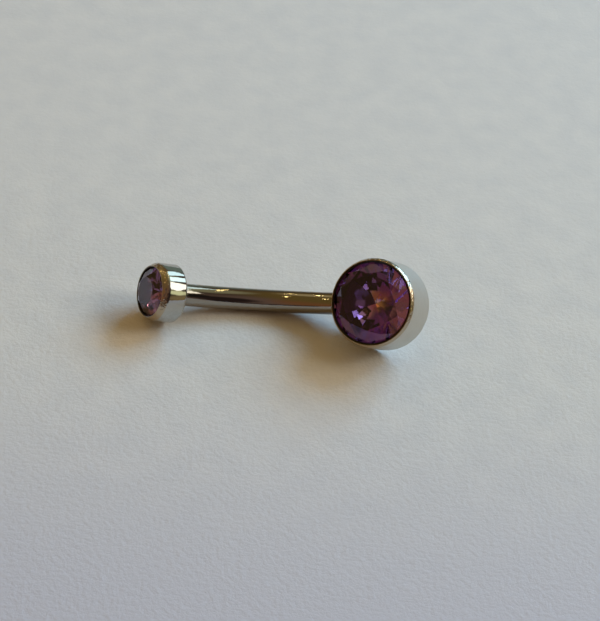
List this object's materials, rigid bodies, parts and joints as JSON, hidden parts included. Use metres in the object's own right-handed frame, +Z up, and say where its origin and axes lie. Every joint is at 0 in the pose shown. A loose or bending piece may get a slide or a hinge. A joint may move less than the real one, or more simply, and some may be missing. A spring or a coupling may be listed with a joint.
{
  "type": "navel ring",
  "caption": "Curved barbell navel ring with a large round stone cup soldered to its bar and a small stone cup at the other end, lying as it rests.",
  "frame": {"origin": "centre of the bounding box's underside, on the surface that the ring lies on", "axes": "+Z up, +X from the small cup to the large cup along the ring's longest extent, the stones facing up and to -X and -Y"},
  "size_m": [0.0206, 0.0068, 0.0068],
  "materials": {
    "polished_steel": "high polish",
    "plum_stone": "polished facets"
  },
  "bodies": {
    "root": {"bar_and_large_cup": "polished_steel", "large_stone": "plum_stone", "small_cup": "polished_steel", "small_stone": "plum_stone"}
  },
  "joints": []
}
